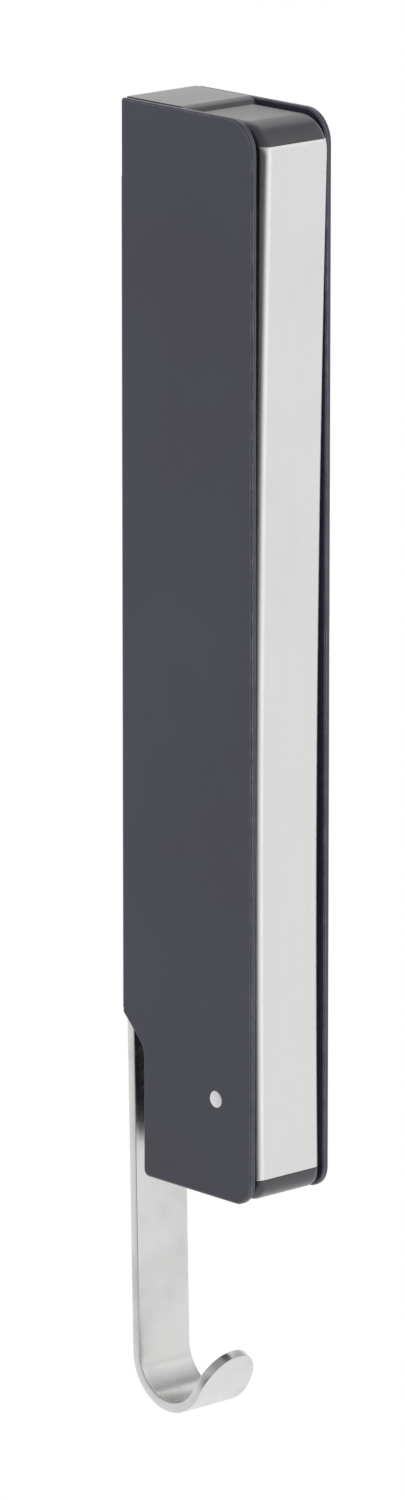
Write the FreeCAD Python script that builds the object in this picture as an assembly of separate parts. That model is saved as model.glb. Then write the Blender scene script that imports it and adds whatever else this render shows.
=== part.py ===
import FreeCAD, Part
import math
import os

from FreeCAD import Vector

# Folding wall hook: a slim arm in a folded channel, over a fixed J hook.
# Millimetres. X runs across, +Z is up, the wall is the plane Y = 0 and the front faces -Y.
# "forward" is the distance out from the wall and "height" is measured from the channel's lower edge.
# The origin lies on the wall, midway between the two wall screws.

# Channel, folded from one sheet
channel_width = 31.0
channel_height = 320.4
channel_depth = 57.1
channel_sheet = 2.0
channel_bend_radius = 0.4
web_bottom_height = 49.4
web_top_drop = 22.9
bend_relief = 1.3
top_front_radius = 9.5
bottom_front_radius = 6.8
bottom_back_radius = 2.0
top_back_radius = 0.8
cutaway_depth = 10.4
cutaway_radius = 8.0
plate_edge_chamfer = 0.4

# Flat bar with the J hook
strip_width = 20.0
strip_thickness = 3.0
strip_top_drop = 8.5
strip_top_radius = 3.0
strip_lean_deg = 1.3
hook_bend_height = -57.9
hook_inner_radius = 12.6
hook_tip_rise_deg = 61.0
hook_tip_length = 13.1
hook_tip_radius = 9.5
strip_edge_chamfer = 0.3

# Pivot
pin_radius = 2.5
pin_height = 30.1
pin_setback = 14.7
pin_proud = 0.5
pin_hole_clearance = 0.02
running_clearance = 0.05
sleeve_wall = 1.3
sleeve_seat_clearance = 0.02
washer_thickness = 0.6
washer_radius = 5.2
cover_hole_clearance = 0.1

# Arm, with its front face bowed towards the wall
arm_side_gap = 0.9
arm_top_drop = 1.2
arm_bottom_lift = 0.8
arm_back_to_pin = 12.6
arm_front_recess = 0.5
arm_bow_radius = 7000.0
arm_bow_height = 100.0
arm_top_radius = 10.0
arm_bottom_radius = 5.5
arm_heel_radius = 3.0
arm_edge_round = 2.8

# Hanger notches along the back of the arm, which is its top once it is folded out
notch_count = 6
notch_pitch = 38.0
notch_first_height = 84.0
notch_width = 12.0
notch_depth = 7.0
notch_lip = 1.5

# Pockets moulded into the arm from the front, one behind each notch
pocket_wall = 2.2
pocket_rib = 2.4
pocket_floor = 3.0

# Sheet cover of the arm
cover_thickness = 1.0
cover_fit = 0.1
cover_bottom_height = 7.5
cover_top_height = 313.0
cover_side_depth = 18.5

# Back block, moulded in two lengths that meet behind the middle of the web
block_side_clearance = 0.2
block_top_proud = 0.2
block_crown_setback = 1.5
block_foot_height = 44.5
block_front_gap = 1.3
block_front_radius = 4.5
block_wall = 2.2
block_foot_wall = 4.0
block_rib = 1.8
block_rib_pitch = 55.0
block_rib_pairs = 2
block_web_clearance = 0.3

# Wall screws, reached through the block
wall_screw_radius = 2.6
wall_screw_spacing = 170.0
driver_bore_radius = 5.5
driver_boss_wall = 2.0

# Screws from the wall side that clamp the flat bar and the web to the block
strip_screw_spacing = 220.0
strip_screw_radius = 1.5
strip_screw_head_radius = 2.9
strip_screw_length = 16.0
strip_screw_boss_radius = 3.6
screw_hole_clearance = 0.02

# Magnet catch near the top of the arm
catch_drop = 23.2
magnet_radius = 5.0
magnet_length = 5.0
magnet_proud = 0.3
magnet_clearance = 0.05
magnet_boss_wall = 1.6
strike_half = 6.0
strike_thickness = 1.5
strike_clearance = 0.1
strike_screw_radius = 1.25
strike_screw_length = 8.0
strike_screw_head_radius = 2.3

# Rubber pads, and the slippery pads that keep the arm in the middle
bump_half = 2.5
bump_thickness = 1.0
bump_offset = 7.5
bump_below_catch = 26.0
glide_thickness = 0.5
glide_half_height = 9.0
glide_back_margin = 2.0
glide_width = 6.0
stop_half_width = 3.5
stop_offset = 8.5
stop_back_margin = 4.0
stop_front_margin = 2.5
stop_gap = 0.3

# Levels and places that follow from the sizes above
half_width = channel_width / 2
plate_inner = half_width - channel_sheet
channel_back = strip_thickness
channel_front = channel_back + channel_depth
web_front = channel_back + channel_sheet
web_top_height = channel_height - web_top_drop
web_middle_height = (web_bottom_height + web_top_height) / 2
strip_top_height = web_top_height - strip_top_drop
pin_forward = channel_front - pin_setback
arm_back = pin_forward - arm_back_to_pin
arm_front = channel_front - arm_front_recess
arm_top = channel_height - arm_top_drop
arm_bottom = arm_bottom_lift
arm_half_width = plate_inner - arm_side_gap
sleeve_radius = pin_radius + running_clearance + sleeve_wall
cover_back = channel_front - cover_side_depth
block_front = arm_back - block_front_gap
block_top = channel_height + block_top_proud
block_half_width = plate_inner - block_side_clearance
block_crown_back = channel_back + block_crown_setback
notch_heights = [notch_first_height + notch_pitch * index for index in range(notch_count)]
catch_height = arm_top - catch_drop
mount_height = web_middle_height
wall_screw_heights = [mount_height - wall_screw_spacing / 2, mount_height + wall_screw_spacing / 2]
strip_screw_heights = {
    "lower": web_middle_height - strip_screw_spacing / 2,
    "upper": web_middle_height + strip_screw_spacing / 2,
}
bump_level = catch_height - bump_below_catch
margin = 5.0


def at(forward, height, across=0.0):
    """Point in the part's frame from its distance off the wall and its height."""
    return Vector(across, -forward, height - mount_height)


def outward(forward, height):
    """The same direction rule as at(), for a direction."""
    return Vector(0, -forward, height)


def prism(wire, half):
    """Solid with the side outline, as wide as twice half."""
    face = Part.Face(wire)
    face.translate(Vector(-half, 0, 0))
    return face.extrude(Vector(2 * half, 0, 0))


def box(half, forward_low, forward_high, low, high):
    """Block across X = 0 between two distances off the wall and two heights."""
    corner = at(forward_high, low, -half)
    return Part.makeBox(2 * half, forward_high - forward_low, high - low, corner)


def rod_out(radius, forward_low, forward_high, height, across=0.0):
    """Cylinder that points straight out from the wall."""
    length = forward_high - forward_low
    return Part.makeCylinder(radius, length, at(forward_low, height, across), Vector(0, -1, 0))


def rod_across(radius, forward, height, low, high):
    """Cylinder along X."""
    return Part.makeCylinder(radius, high - low, at(forward, height, low), Vector(1, 0, 0))


def turned(profile, start, direction):
    """Solid of revolution: profile is (distance along, radius) from start, along direction."""
    points = [Vector(radius, 0, along) for along, radius in profile]
    solid = Part.Face(Part.makePolygon(points + points[:1])).revolve(Vector(), Vector(0, 0, 1), 360)
    solid.Placement = FreeCAD.Placement(start, FreeCAD.Rotation(Vector(0, 0, 1), direction))
    return solid


def rounded_outline(corners):
    """Closed side outline through (forward, height, radius) corners, each rounded by its radius."""
    points = [at(forward, height) for forward, height, _ in corners]
    edges = []
    starts = []
    ends = []
    arcs = []
    for index, (_, _, radius) in enumerate(corners):
        here = points[index]
        back = (points[index - 1] - here).normalize()
        ahead = (points[(index + 1) % len(points)] - here).normalize()
        half_angle = back.getAngle(ahead) / 2
        reach = radius / math.tan(half_angle)
        bisector = (back + ahead).normalize()
        middle = here + bisector * (radius / math.sin(half_angle) - radius)
        starts.append(here + back * reach)
        ends.append(here + ahead * reach)
        arcs.append(middle)
    for index, (_, _, radius) in enumerate(corners):
        if radius > 0:
            edges.append(Part.Arc(starts[index], arcs[index], ends[index]).toShape())
        following = starts[(index + 1) % len(corners)]
        edges.append(Part.LineSegment(ends[index], following).toShape())
    return Part.Wire(edges)


def side_edges(solid, across):
    """Edges of a solid that lie in the plane X = across."""
    near = 1e-6
    return [edge for edge in solid.Edges if all(abs(vertex.X - across) < near for vertex in edge.Vertexes)]


def arc_about(centre, radius, start, end):
    """Arc between two points of a circle in the side plane, by its short way round."""
    middle = ((start - centre).normalize() + (end - centre).normalize()).normalize()
    return Part.Arc(start, centre + middle * radius, end).toShape()


# Housing channel

def side_plate(across):
    """One side plate as an outline with softened edges; across is its outer or inner X, the lower one."""
    cutaway_height = web_bottom_height - cutaway_depth
    relief_forward = channel_back + bend_relief
    outline = rounded_outline([
        (relief_forward, channel_height, top_back_radius),
        (channel_front, channel_height, top_front_radius),
        (channel_front, 0.0, bottom_front_radius),
        (channel_back + cutaway_depth, 0.0, bottom_back_radius),
        (channel_back + cutaway_depth, cutaway_height, cutaway_radius),
        (relief_forward, web_bottom_height - bend_relief, 0.0),
    ])
    plate = Part.Face(outline).extrude(Vector(channel_sheet, 0, 0))
    plate.translate(Vector(across, 0, 0))
    rims = side_edges(plate, across) + side_edges(plate, across + channel_sheet)
    relief_line = at(relief_forward + plate_edge_chamfer, 0).y
    soft = [edge for edge in rims if min(vertex.Y for vertex in edge.Vertexes) < relief_line]
    return plate.makeChamfer(plate_edge_chamfer, soft)


def web_channel():
    """The web with its two bends and a short length of each side, between the reliefs."""
    outer_radius = channel_bend_radius + channel_sheet
    length = web_top_height - web_bottom_height
    side_reach = outer_radius + bend_relief
    corner = at(channel_back + side_reach, web_bottom_height, -half_width)
    outer = Part.makeBox(channel_width, side_reach, length, corner)
    outer_bends = [edge for edge in outer.Edges
                   if edge.BoundBox.ZLength > length / 2 and edge.BoundBox.YMax > -channel_back - bend_relief]
    outer = outer.makeFillet(outer_radius, outer_bends)
    inner = box(plate_inner, web_front, channel_back + side_reach + margin, web_bottom_height - margin,
                web_top_height + margin)
    inner_bends = [edge for edge in inner.Edges
                   if edge.BoundBox.ZLength > length / 2 and edge.BoundBox.YMax > -web_front - bend_relief]
    return outer.cut(inner.makeFillet(channel_bend_radius, inner_bends))


def countersunk(radius, head_radius, forward_low, forward_high, height):
    """Countersunk hole tool, with its wide mouth on the side near the wall."""
    cone_depth = head_radius - radius
    profile = [(0, 0), (0, head_radius), (cone_depth, radius), (forward_high - forward_low, radius),
               (forward_high - forward_low, 0)]
    return turned(profile, at(forward_low, height), Vector(0, -1, 0))


def housing_channel():
    """Folded channel: side plates, web, pin holes and the holes in the web."""
    solid = side_plate(-half_width).fuse([side_plate(plate_inner), web_channel()]).removeSplitter()
    tools = [rod_across(pin_radius + pin_hole_clearance, pin_forward, pin_height, -half_width - margin,
                        half_width + margin)]
    for height in wall_screw_heights:
        tools.append(rod_out(wall_screw_radius, channel_back - margin, web_front + margin, height))
    for height in strip_screw_heights.values():
        tools.append(rod_out(strip_screw_radius + screw_hole_clearance, channel_back - margin,
                             web_front + margin, height))
    return solid.cut(tools)


# Flat bar with the J hook

def hook_outline():
    """Side outline of the bar: flat on the wall, a slight lean, the hook's bend and its tip."""
    lean = math.radians(strip_lean_deg)
    rise = math.radians(hook_tip_rise_deg)
    down = outward(math.sin(lean), -math.cos(lean))
    out = outward(math.cos(lean), math.sin(lean))
    tip_along = outward(math.cos(rise), math.sin(rise))
    tip_out = outward(math.sin(rise), -math.cos(rise))
    knee_back = at(0.0, web_bottom_height)
    knee_front = at(strip_thickness, web_bottom_height) - Vector(0, 0, strip_thickness * math.tan(lean / 2))
    run = (web_bottom_height - hook_bend_height) / math.cos(lean)
    bend_back = knee_back + down * run
    bend_front = bend_back + out * strip_thickness
    centre = bend_front + out * hook_inner_radius
    outer_radius = hook_inner_radius + strip_thickness
    tip_root_inner = centre + tip_out * hook_inner_radius
    tip_root_outer = centre + tip_out * outer_radius
    tip_end_inner = tip_root_inner + tip_along * hook_tip_length
    tip_end_outer = tip_root_outer + tip_along * hook_tip_length
    bottom = Vector(0, 0, -1)
    top_back = at(0.0, strip_top_height)
    top_front = at(strip_thickness, strip_top_height)
    edges = [
        Part.LineSegment(top_back, knee_back).toShape(),
        Part.LineSegment(knee_back, bend_back).toShape(),
        Part.Arc(bend_back, centre + bottom * outer_radius, tip_root_outer).toShape(),
        Part.LineSegment(tip_root_outer, tip_end_outer).toShape(),
        Part.LineSegment(tip_end_outer, tip_end_inner).toShape(),
        Part.LineSegment(tip_end_inner, tip_root_inner).toShape(),
        Part.Arc(tip_root_inner, centre + bottom * hook_inner_radius, bend_front).toShape(),
        Part.LineSegment(bend_front, knee_front).toShape(),
        Part.LineSegment(knee_front, top_front).toShape(),
        Part.LineSegment(top_front, top_back).toShape(),
    ]
    return Part.Wire(edges)


def through_edges(solid, low, high):
    """Straight edges through the bar's thickness, between two heights."""
    near = 1e-4
    found = [edge for edge in solid.Edges
             if abs(edge.Length - strip_thickness) < near and edge.BoundBox.XLength < near]
    return [edge for edge in found if at(0, low).z < edge.BoundBox.Center.z < at(0, high).z]


def hook_strip():
    """Flat bar with rounded top corners, a tongue-shaped tip and softened long edges."""
    near = 1e-3
    solid = prism(hook_outline(), strip_width / 2)
    solid = solid.makeFillet(strip_top_radius, through_edges(solid, web_top_height / 2, channel_height))
    solid = solid.makeFillet(hook_tip_radius, through_edges(solid, 2 * hook_bend_height, 0.0))
    rims = [edge for edge in solid.Edges
            if abs(edge.Length - strip_thickness) > near and edge.BoundBox.XLength < strip_width - near]
    solid = solid.makeChamfer(strip_edge_chamfer, rims)
    tools = []
    for height in wall_screw_heights:
        tools.append(rod_out(wall_screw_radius, -margin, strip_thickness + margin, height))
    for height in strip_screw_heights.values():
        tools.append(countersunk(strip_screw_radius + screw_hole_clearance,
                                 strip_screw_head_radius + screw_hole_clearance,
                                 0.0, strip_thickness + margin, height))
    return solid.cut(tools)


# Folding arm

def arm_outline(inset):
    """Side outline of the arm, drawn in by inset from its outer surface.

    The front is one wide arc that bows towards the wall, and both end rounds run into it without a kink.
    """
    bow_centre = at(arm_front + arm_bow_radius, arm_bow_height)
    bow_radius = arm_bow_radius + inset
    top = arm_top - inset
    bottom = arm_bottom + inset
    back = arm_back + inset
    ends = []
    for end_radius, height in ((arm_top_radius, arm_top - arm_top_radius),
                               (arm_bottom_radius, arm_bottom + arm_bottom_radius)):
        reach = math.sqrt((arm_bow_radius + end_radius) ** 2 - (height - arm_bow_height) ** 2)
        centre = at(arm_front + arm_bow_radius - reach, height)
        touch = bow_centre + (centre - bow_centre).normalize() * bow_radius
        ends.append((centre, end_radius - inset, touch))
    (top_centre, top_radius, top_touch), (low_centre, low_radius, low_touch) = ends
    top_start = Vector(0, top_centre.y, at(0, top).z)
    low_start = Vector(0, low_centre.y, at(0, bottom).z)
    back_top = at(back, top)
    heel_radius = arm_heel_radius - inset
    heel_centre = at(back + heel_radius, bottom + heel_radius)
    heel_up = at(back, bottom + heel_radius)
    heel_out = at(back + heel_radius, bottom)
    edges = [
        Part.LineSegment(back_top, top_start).toShape(),
        arc_about(top_centre, top_radius, top_start, top_touch),
        arc_about(bow_centre, bow_radius, top_touch, low_touch),
        arc_about(low_centre, low_radius, low_touch, low_start),
        Part.LineSegment(low_start, heel_out).toShape(),
        arc_about(heel_centre, heel_radius, heel_out, heel_up),
        Part.LineSegment(heel_up, back_top).toShape(),
    ]
    return Part.Wire(edges)


def arm_envelope(inset):
    """Outer form of the arm drawn in by inset, with its long edges rounded."""
    half = arm_half_width - inset
    solid = prism(arm_outline(inset), half)
    return solid.makeFillet(arm_edge_round - inset, side_edges(solid, half) + side_edges(solid, -half))


def cover_zone(clearance):
    """Space that the sheet cover takes up along the arm, opened out by a clearance."""
    return box(half_width, cover_back - clearance, channel_front + margin,
               cover_bottom_height - clearance, cover_top_height + clearance)


def notch_outline(height):
    """Side outline of one hanger notch: a round-bottomed slot with a flared mouth."""
    radius = notch_width / 2
    floor = arm_back + notch_depth
    lower, upper = height - radius, height + radius
    turn = floor - radius
    lower_mouth = at(arm_back - notch_lip, lower - 2 * notch_lip)
    lower_neck = at(arm_back + notch_lip, lower)
    upper_neck = at(arm_back + notch_lip, upper)
    upper_mouth = at(arm_back - notch_lip, upper + 2 * notch_lip)
    edges = [
        Part.LineSegment(lower_mouth, lower_neck).toShape(),
        Part.LineSegment(lower_neck, at(turn, lower)).toShape(),
        Part.Arc(at(turn, lower), at(floor, height), at(turn, upper)).toShape(),
        Part.LineSegment(at(turn, upper), upper_neck).toShape(),
        Part.LineSegment(upper_neck, upper_mouth).toShape(),
        Part.LineSegment(upper_mouth, lower_mouth).toShape(),
    ]
    return Part.Wire(edges)


def arm_core():
    """Moulded body of the arm: notched back, pockets under the cover and a bored pivot boss."""
    solid = arm_envelope(0.0)
    inner = arm_envelope(cover_thickness + cover_fit)
    solid = solid.cut(cover_zone(cover_fit).cut(inner))
    pocket_half = arm_half_width - cover_thickness - cover_fit - pocket_wall
    pocket_back = arm_back + notch_depth + pocket_floor
    tools = [rod_across(sleeve_radius + sleeve_seat_clearance, pin_forward, pin_height, -half_width,
                        half_width)]
    for height in notch_heights:
        tools.append(prism(notch_outline(height), half_width))
        reach = (notch_pitch - pocket_rib) / 2
        tools.append(box(pocket_half, pocket_back, channel_front + margin, height - reach, height + reach))
    seat_half = strike_half + strike_clearance
    tools.append(box(seat_half, arm_back - margin, arm_back + strike_thickness, catch_height - seat_half,
                     catch_height + seat_half))
    tools.append(rod_out(strike_screw_radius + screw_hole_clearance, arm_back, arm_back + strike_screw_length
                         + strike_clearance, catch_height))
    return solid.cut(tools)


def arm_cover():
    """Sheet cover bent round the front and sides of the arm, with a hole each side for the pivot."""
    sheet = arm_envelope(0.0).cut(arm_envelope(cover_thickness)).common(cover_zone(0.0))
    hole_radius = sleeve_radius + cover_hole_clearance
    return sheet.cut(rod_across(hole_radius, pin_forward, pin_height, -half_width, half_width))


# Pivot

def pivot_pin():
    """Plain pin pressed into the plates, standing just proud of them at both ends."""
    reach = half_width + pin_proud
    return rod_across(pin_radius, pin_forward, pin_height, -reach, reach)


def pivot_sleeve():
    """Plain bearing sleeve through the arm, on the pin."""
    outer = rod_across(sleeve_radius, pin_forward, pin_height, -arm_half_width, arm_half_width)
    return outer.cut(rod_across(pin_radius + running_clearance, pin_forward, pin_height, -half_width,
                                half_width))


def thrust_washer(side):
    """Thin washer against the inside of one plate."""
    bore = pin_radius + pin_hole_clearance
    profile = [(0, bore), (0, washer_radius), (washer_thickness, washer_radius), (washer_thickness, bore)]
    return turned(profile, at(pin_forward, pin_height, side * plate_inner), Vector(-side, 0, 0))


# Back block

def block_outline(inset, foot):
    """Side outline of the block, drawn in by inset and by foot at its lower end."""
    web_step = web_top_height + block_web_clearance
    return rounded_outline([
        (web_front, block_foot_height + foot, 0.0),
        (web_front, web_step + inset, 0.0),
        (block_crown_back + inset, web_step + inset, 0.0),
        (block_crown_back + inset, block_top - inset, 0.0),
        (block_front - inset, block_top - inset, block_front_radius - inset),
        (block_front - inset, block_foot_height + foot, 0.0),
    ])


def block_bosses():
    """Round posts inside the block, from the web to its front wall."""
    posts = [rod_out(driver_bore_radius + driver_boss_wall, web_front, block_front, height)
             for height in wall_screw_heights]
    posts += [rod_out(strip_screw_boss_radius, web_front, block_front, height)
              for height in strip_screw_heights.values()]
    posts.append(rod_out(magnet_radius + magnet_clearance + magnet_boss_wall,
                         block_front - magnet_length - magnet_boss_wall, block_front, catch_height))
    return posts


def block_ribs(cavity_half):
    """Level ribs across the inside of the block, in pairs above and below its joint."""
    ribs = []
    for index in range(block_rib_pairs):
        step = (index + 1) * block_rib_pitch
        for height in (web_middle_height - step, web_middle_height + step):
            ribs.append(box(cavity_half, web_front, block_front - block_wall / 2,
                            height - block_rib / 2, height + block_rib / 2))
    return ribs


def whole_block():
    """Both lengths of the block as one, open towards the web, with posts, ribs and joint walls."""
    outer = prism(block_outline(0.0, 0.0), block_half_width)
    web_side = [edge for edge in outer.Edges
                if edge.BoundBox.YMin > at(web_front + block_web_clearance, 0).y
                and edge.BoundBox.ZLength > (web_top_height - block_foot_height) / 2]
    outer = outer.makeFillet(channel_bend_radius + block_side_clearance, web_side)
    cavity_half = block_half_width - block_wall
    cavity = prism(block_outline(block_wall, block_foot_wall), cavity_half)
    joint_walls = box(cavity_half, web_front, block_front - block_wall / 2,
                      web_middle_height - block_wall, web_middle_height + block_wall)
    inside = block_bosses() + block_ribs(cavity_half) + [joint_walls]
    filled = Part.makeCompound(inside).common(outer)
    solid = outer.cut(cavity).fuse(filled.Solids).removeSplitter()
    tools = [rod_out(driver_bore_radius, web_front - margin, block_front + margin, height)
             for height in wall_screw_heights]
    pilot = strip_screw_radius + screw_hole_clearance
    tools += [rod_out(pilot, web_front - margin, strip_screw_length + block_wall, height)
              for height in strip_screw_heights.values()]
    tools.append(rod_out(magnet_radius + magnet_clearance, block_front + magnet_proud - magnet_length,
                         block_front + margin, catch_height))
    return solid.cut(tools)


def block_length(block, low, high):
    """One of the two mouldings, between two levels of the whole block."""
    return block.common(box(half_width, 0.0, channel_front, low, high))


# Screws, catch and pads

def countersunk_screw(radius, head_radius, length, forward, height):
    """Plain-shanked countersunk screw that points out from the wall."""
    cone = head_radius - radius
    profile = [(0, 0), (0, head_radius), (cone, radius), (length, radius), (length, 0)]
    return turned(profile, at(forward, height), Vector(0, -1, 0))


def strip_screw(height):
    """Screw through the flat bar and the web into a post of the block."""
    return countersunk_screw(strip_screw_radius, strip_screw_head_radius, strip_screw_length, 0.0, height)


def catch_magnet():
    """Round magnet seated in the front of the block."""
    front = block_front + magnet_proud
    return rod_out(magnet_radius, front - magnet_length, front, catch_height)


def strike_plate():
    """Square steel plate let into the back of the arm, facing the magnet."""
    plate = box(strike_half, arm_back, arm_back + strike_thickness, catch_height - strike_half,
                catch_height + strike_half)
    return plate.cut(countersunk(strike_screw_radius + screw_hole_clearance,
                                 strike_screw_head_radius + screw_hole_clearance,
                                 arm_back, arm_back + strike_thickness + margin, catch_height))


def strike_screw():
    """Small countersunk screw that holds the strike plate."""
    return countersunk_screw(strike_screw_radius, strike_screw_head_radius, strike_screw_length, arm_back,
                             catch_height)


def bump_pad(side):
    """Small rubber pad on the front of the block; side is -1 for the left and 1 for the right."""
    pad = box(bump_half, block_front, block_front + bump_thickness, bump_level - bump_half,
              bump_level + bump_half)
    pad.translate(Vector(side * bump_offset, 0, 0))
    return pad


def glide_pad(side):
    """Thin slippery pad inside one side plate, beside the free end of the arm."""
    low = arm_back + glide_back_margin
    pad = box(glide_thickness / 2, low, low + glide_width, catch_height - glide_half_height,
              catch_height + glide_half_height)
    pad.translate(Vector(side * (plate_inner - glide_thickness / 2), 0, 0))
    return pad


def stop_pad(side):
    """Rubber pad under the foot of the block, where the arm's heel comes to rest."""
    low = pin_height + arm_back_to_pin + stop_gap
    pad = box(stop_half_width, web_front + stop_back_margin, block_front - stop_front_margin, low,
              block_foot_height)
    pad.translate(Vector(side * stop_offset, 0, 0))
    return pad


block = whole_block()
parts = {
    "housing_channel": housing_channel(),
    "hook_strip": hook_strip(),
    "block_lower": block_length(block, block_foot_height - margin, web_middle_height),
    "block_upper": block_length(block, web_middle_height, block_top + margin),
    "arm_core": arm_core(),
    "arm_cover": arm_cover(),
    "pivot_pin": pivot_pin(),
    "pivot_sleeve": pivot_sleeve(),
    "catch_magnet": catch_magnet(),
    "strike_plate": strike_plate(),
    "strike_screw": strike_screw(),
}
for side_name, side in (("left", -1), ("right", 1)):
    parts["thrust_washer_" + side_name] = thrust_washer(side)
    parts["bump_pad_" + side_name] = bump_pad(side)
    parts["glide_pad_" + side_name] = glide_pad(side)
    parts["stop_pad_" + side_name] = stop_pad(side)
for place, height in strip_screw_heights.items():
    parts["strip_screw_" + place] = strip_screw(height)

os.makedirs("parts", exist_ok=True)
for name, solid in parts.items():
    print(name, solid.isValid(), len(solid.Solids), round(solid.Volume, 1))
    solid.exportStep("parts/" + name + ".step")
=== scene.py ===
"""Folding wall hook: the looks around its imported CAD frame.

The folded channel, the two mouldings of the block, the arm's core and the strike plate are shown as
the frame gives them and dressed here. The bar with the J hook, the arm's sheet cover, the pivot, the
magnet, the screws and the pads are made here as smooth surfaces. All lengths are metres in the
frame's own axes: X across, +Z up, the wall is the plane Y = 0 and the front faces -Y.
"""

import logging
import math
from collections.abc import Callable
from dataclasses import dataclass, field
from enum import Enum

import bmesh
import bpy
import numpy as np
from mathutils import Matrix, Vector


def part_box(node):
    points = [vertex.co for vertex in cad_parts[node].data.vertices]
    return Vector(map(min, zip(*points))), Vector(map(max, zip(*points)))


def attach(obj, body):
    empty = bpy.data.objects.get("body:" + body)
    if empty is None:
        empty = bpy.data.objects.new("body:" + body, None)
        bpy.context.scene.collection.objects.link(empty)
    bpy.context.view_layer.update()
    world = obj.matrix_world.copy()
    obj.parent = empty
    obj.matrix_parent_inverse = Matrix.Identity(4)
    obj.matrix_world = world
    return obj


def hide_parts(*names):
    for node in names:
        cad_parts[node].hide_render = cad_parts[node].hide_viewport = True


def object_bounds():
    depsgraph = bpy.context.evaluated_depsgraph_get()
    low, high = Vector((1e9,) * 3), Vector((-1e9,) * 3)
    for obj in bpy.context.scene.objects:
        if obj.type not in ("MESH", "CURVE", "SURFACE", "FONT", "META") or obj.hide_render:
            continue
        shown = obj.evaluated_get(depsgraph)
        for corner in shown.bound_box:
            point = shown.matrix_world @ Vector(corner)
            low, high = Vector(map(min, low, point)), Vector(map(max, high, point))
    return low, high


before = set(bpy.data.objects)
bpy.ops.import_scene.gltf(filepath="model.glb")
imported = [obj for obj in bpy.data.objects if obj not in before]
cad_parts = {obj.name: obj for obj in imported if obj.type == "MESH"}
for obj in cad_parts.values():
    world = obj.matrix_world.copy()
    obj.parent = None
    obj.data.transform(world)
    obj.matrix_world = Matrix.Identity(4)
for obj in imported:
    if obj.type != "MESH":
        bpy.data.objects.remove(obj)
CAD_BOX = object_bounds()

logging.basicConfig(level=logging.INFO, format="%(message)s")
log = logging.getLogger("wall_hook")

MM = 0.001
SAME_POINT = 1e-7
FULL_TURN = 2.0 * math.pi
WHITE = (1.0, 1.0, 1.0, 1.0)
Socket = bpy.types.NodeSocket
Colour = tuple[float, float, float]
Outline = tuple[np.ndarray, np.ndarray]
Place = Callable[[np.ndarray, np.ndarray, np.ndarray], np.ndarray]


class Body(Enum):
    """The two CAD bodies that pieces ride on."""

    WALL_UNIT = "wall_unit"
    ARM = "arm"


class Slot(Enum):
    """The record's material slots, one for each kind of new piece."""

    BAR = "strip_steel"
    COVER = "cover_steel"
    PIN = "pin_steel"
    SLEEVE = "sleeve_plastic"
    WASHER = "washer_steel"
    MAGNET = "magnet_plating"
    ZINC = "zinc_steel"
    RUBBER = "pad_rubber"


@dataclass(frozen=True)
class Extent:
    """Lowest and highest corner of a CAD node at rest."""

    low: Vector
    high: Vector

    @classmethod
    def of(cls, node: str) -> "Extent":
        """The extent of the CAD node of that name."""
        low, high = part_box(node)
        return cls(low, high)

    @property
    def middle(self) -> Vector:
        """The middle of the box."""
        return (self.low + self.high) / 2

    @property
    def size(self) -> Vector:
        """The box's length along each axis."""
        return self.high - self.low


# surfaces


@dataclass
class Shell:
    """A surface gathered from grids of points, made one closed mesh at the end."""

    patches: list[tuple[np.ndarray, np.ndarray]] = field(default_factory=list)

    def add(self, points: np.ndarray, wrap: bool = False, keep: np.ndarray | None = None) -> None:
        """Adds a grid of points as quads.

        Args:
            points: an array of rows, columns and three coordinates.
            wrap: True joins the last column to the first.
            keep: for each quad, False leaves it out.
        """
        rows, columns = points.shape[:2]
        across = np.arange(columns if wrap else columns - 1)
        up = np.arange(rows - 1)[:, None]
        first = up * columns + across
        second = up * columns + (across + 1) % columns
        quads = np.stack([first, second, second + columns, first + columns], axis=-1).reshape(-1, 4)
        self.patches.append((points.reshape(-1, 3), quads if keep is None else quads[keep.reshape(-1)]))

    def piece(self, name: str, smooth_angle: float = 32.0) -> bpy.types.Object:
        """Joins the patches where their points meet and puts the result in the scene.

        Points closer than SAME_POINT are one point. A quad that has lost a side at a pole becomes a
        triangle, and one that has no area left goes.

        Args:
            name: the piece's name.
            smooth_angle: faces that meet at less than this many degrees are shaded as one.

        Returns:
            The new object, at the origin.
        """
        starts = np.cumsum([0] + [len(points) for points, _ in self.patches[:-1]])
        points = np.concatenate([patch[0] for patch in self.patches])
        quads = np.concatenate([patch[1] + start for patch, start in zip(self.patches, starts)])
        keys = np.round(points / SAME_POINT).astype(np.int64)
        _, where, same = np.unique(keys, axis=0, return_index=True, return_inverse=True)
        faces = same.reshape(-1)[quads]
        corner_stays = faces != np.roll(faces, -1, axis=1)
        sides = corner_stays.sum(axis=1)
        loops = faces[corner_stays & (sides > 2)[:, None]]
        counts = sides[sides > 2]

        mesh = bpy.data.meshes.new(name)
        mesh.vertices.add(len(where))
        mesh.vertices.foreach_set("co", points[where].astype(np.float32).ravel())
        mesh.loops.add(len(loops))
        mesh.loops.foreach_set("vertex_index", loops.astype(np.int32))
        mesh.polygons.add(len(counts))
        mesh.polygons.foreach_set("loop_start", (np.cumsum(counts) - counts).astype(np.int32))
        mesh.update(calc_edges=True)
        mesh.validate()
        turned = bmesh.new()
        turned.from_mesh(mesh)
        bmesh.ops.recalc_face_normals(turned, faces=turned.faces)
        turned.to_mesh(mesh)
        turned.free()
        mesh.polygons.foreach_set("use_smooth", np.ones(len(mesh.polygons), bool))
        mesh.set_sharp_from_angle(angle=math.radians(smooth_angle))
        made = bpy.data.objects.new(name, mesh)
        bpy.context.scene.collection.objects.link(made)
        return made


def stations(*runs: tuple[float, float, float]) -> np.ndarray:
    """Rising numbers with a step of their own in each run.

    Args:
        runs: (start, end, step) of each run, end to start.

    Returns:
        The numbers, each once.
    """
    parts = [np.linspace(start, end, max(1, round((end - start) / step)) + 1)[:-1]
             for start, end, step in runs]
    return np.concatenate(parts + [np.array([runs[-1][1]])])


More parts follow.
